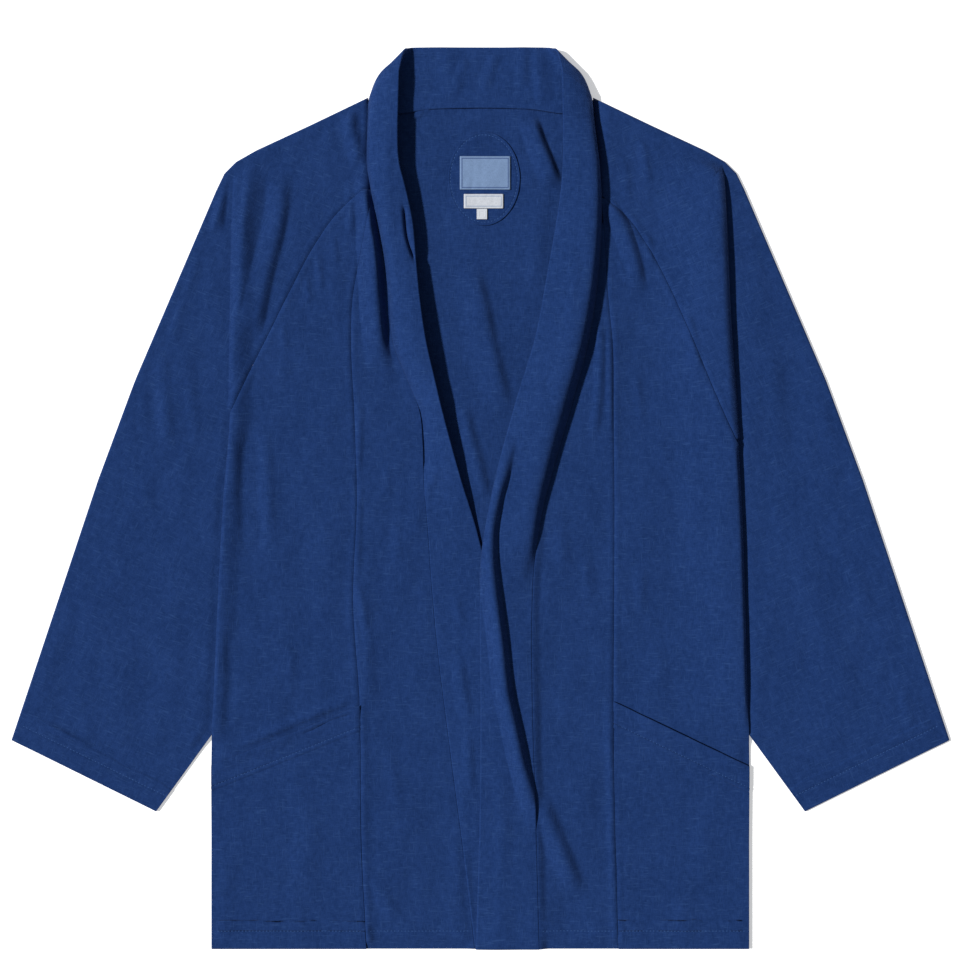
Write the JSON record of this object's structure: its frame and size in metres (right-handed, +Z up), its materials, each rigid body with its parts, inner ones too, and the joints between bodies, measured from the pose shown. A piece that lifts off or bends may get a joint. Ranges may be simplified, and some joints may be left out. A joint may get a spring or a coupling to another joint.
{
  "type": "kimono jacket",
  "caption": "Indigo kimono jacket laid flat, with a long doubled shawl band, raglan sleeves, panelled fronts and slanted pockets.",
  "frame": {"origin": "centre of the footprint on the surface that the jacket lies on", "axes": "+Z up from the surface, +Y to the collar, +X to the wearer's left"},
  "size_m": [0.8898, 0.856, 0.0222],
  "materials": {
    "indigo_cloth": "matte",
    "indigo_band": "matte",
    "label_blue": "matte",
    "label_white": "matte"
  },
  "bodies": {
    "root": {"back": "indigo_cloth", "front_side_right": "indigo_cloth", "front_side_left": "indigo_cloth", "front_centre_right": "indigo_cloth", "front_centre_left": "indigo_cloth", "pocket_right": "indigo_cloth", "pocket_left": "indigo_cloth", "sleeve_right": "indigo_cloth", "sleeve_left": "indigo_cloth", "collar": "indigo_band", "neck_patch": "indigo_cloth", "label_main": "label_blue", "label_small": "label_white", "size_tab": "label_white"}
  },
  "joints": []
}
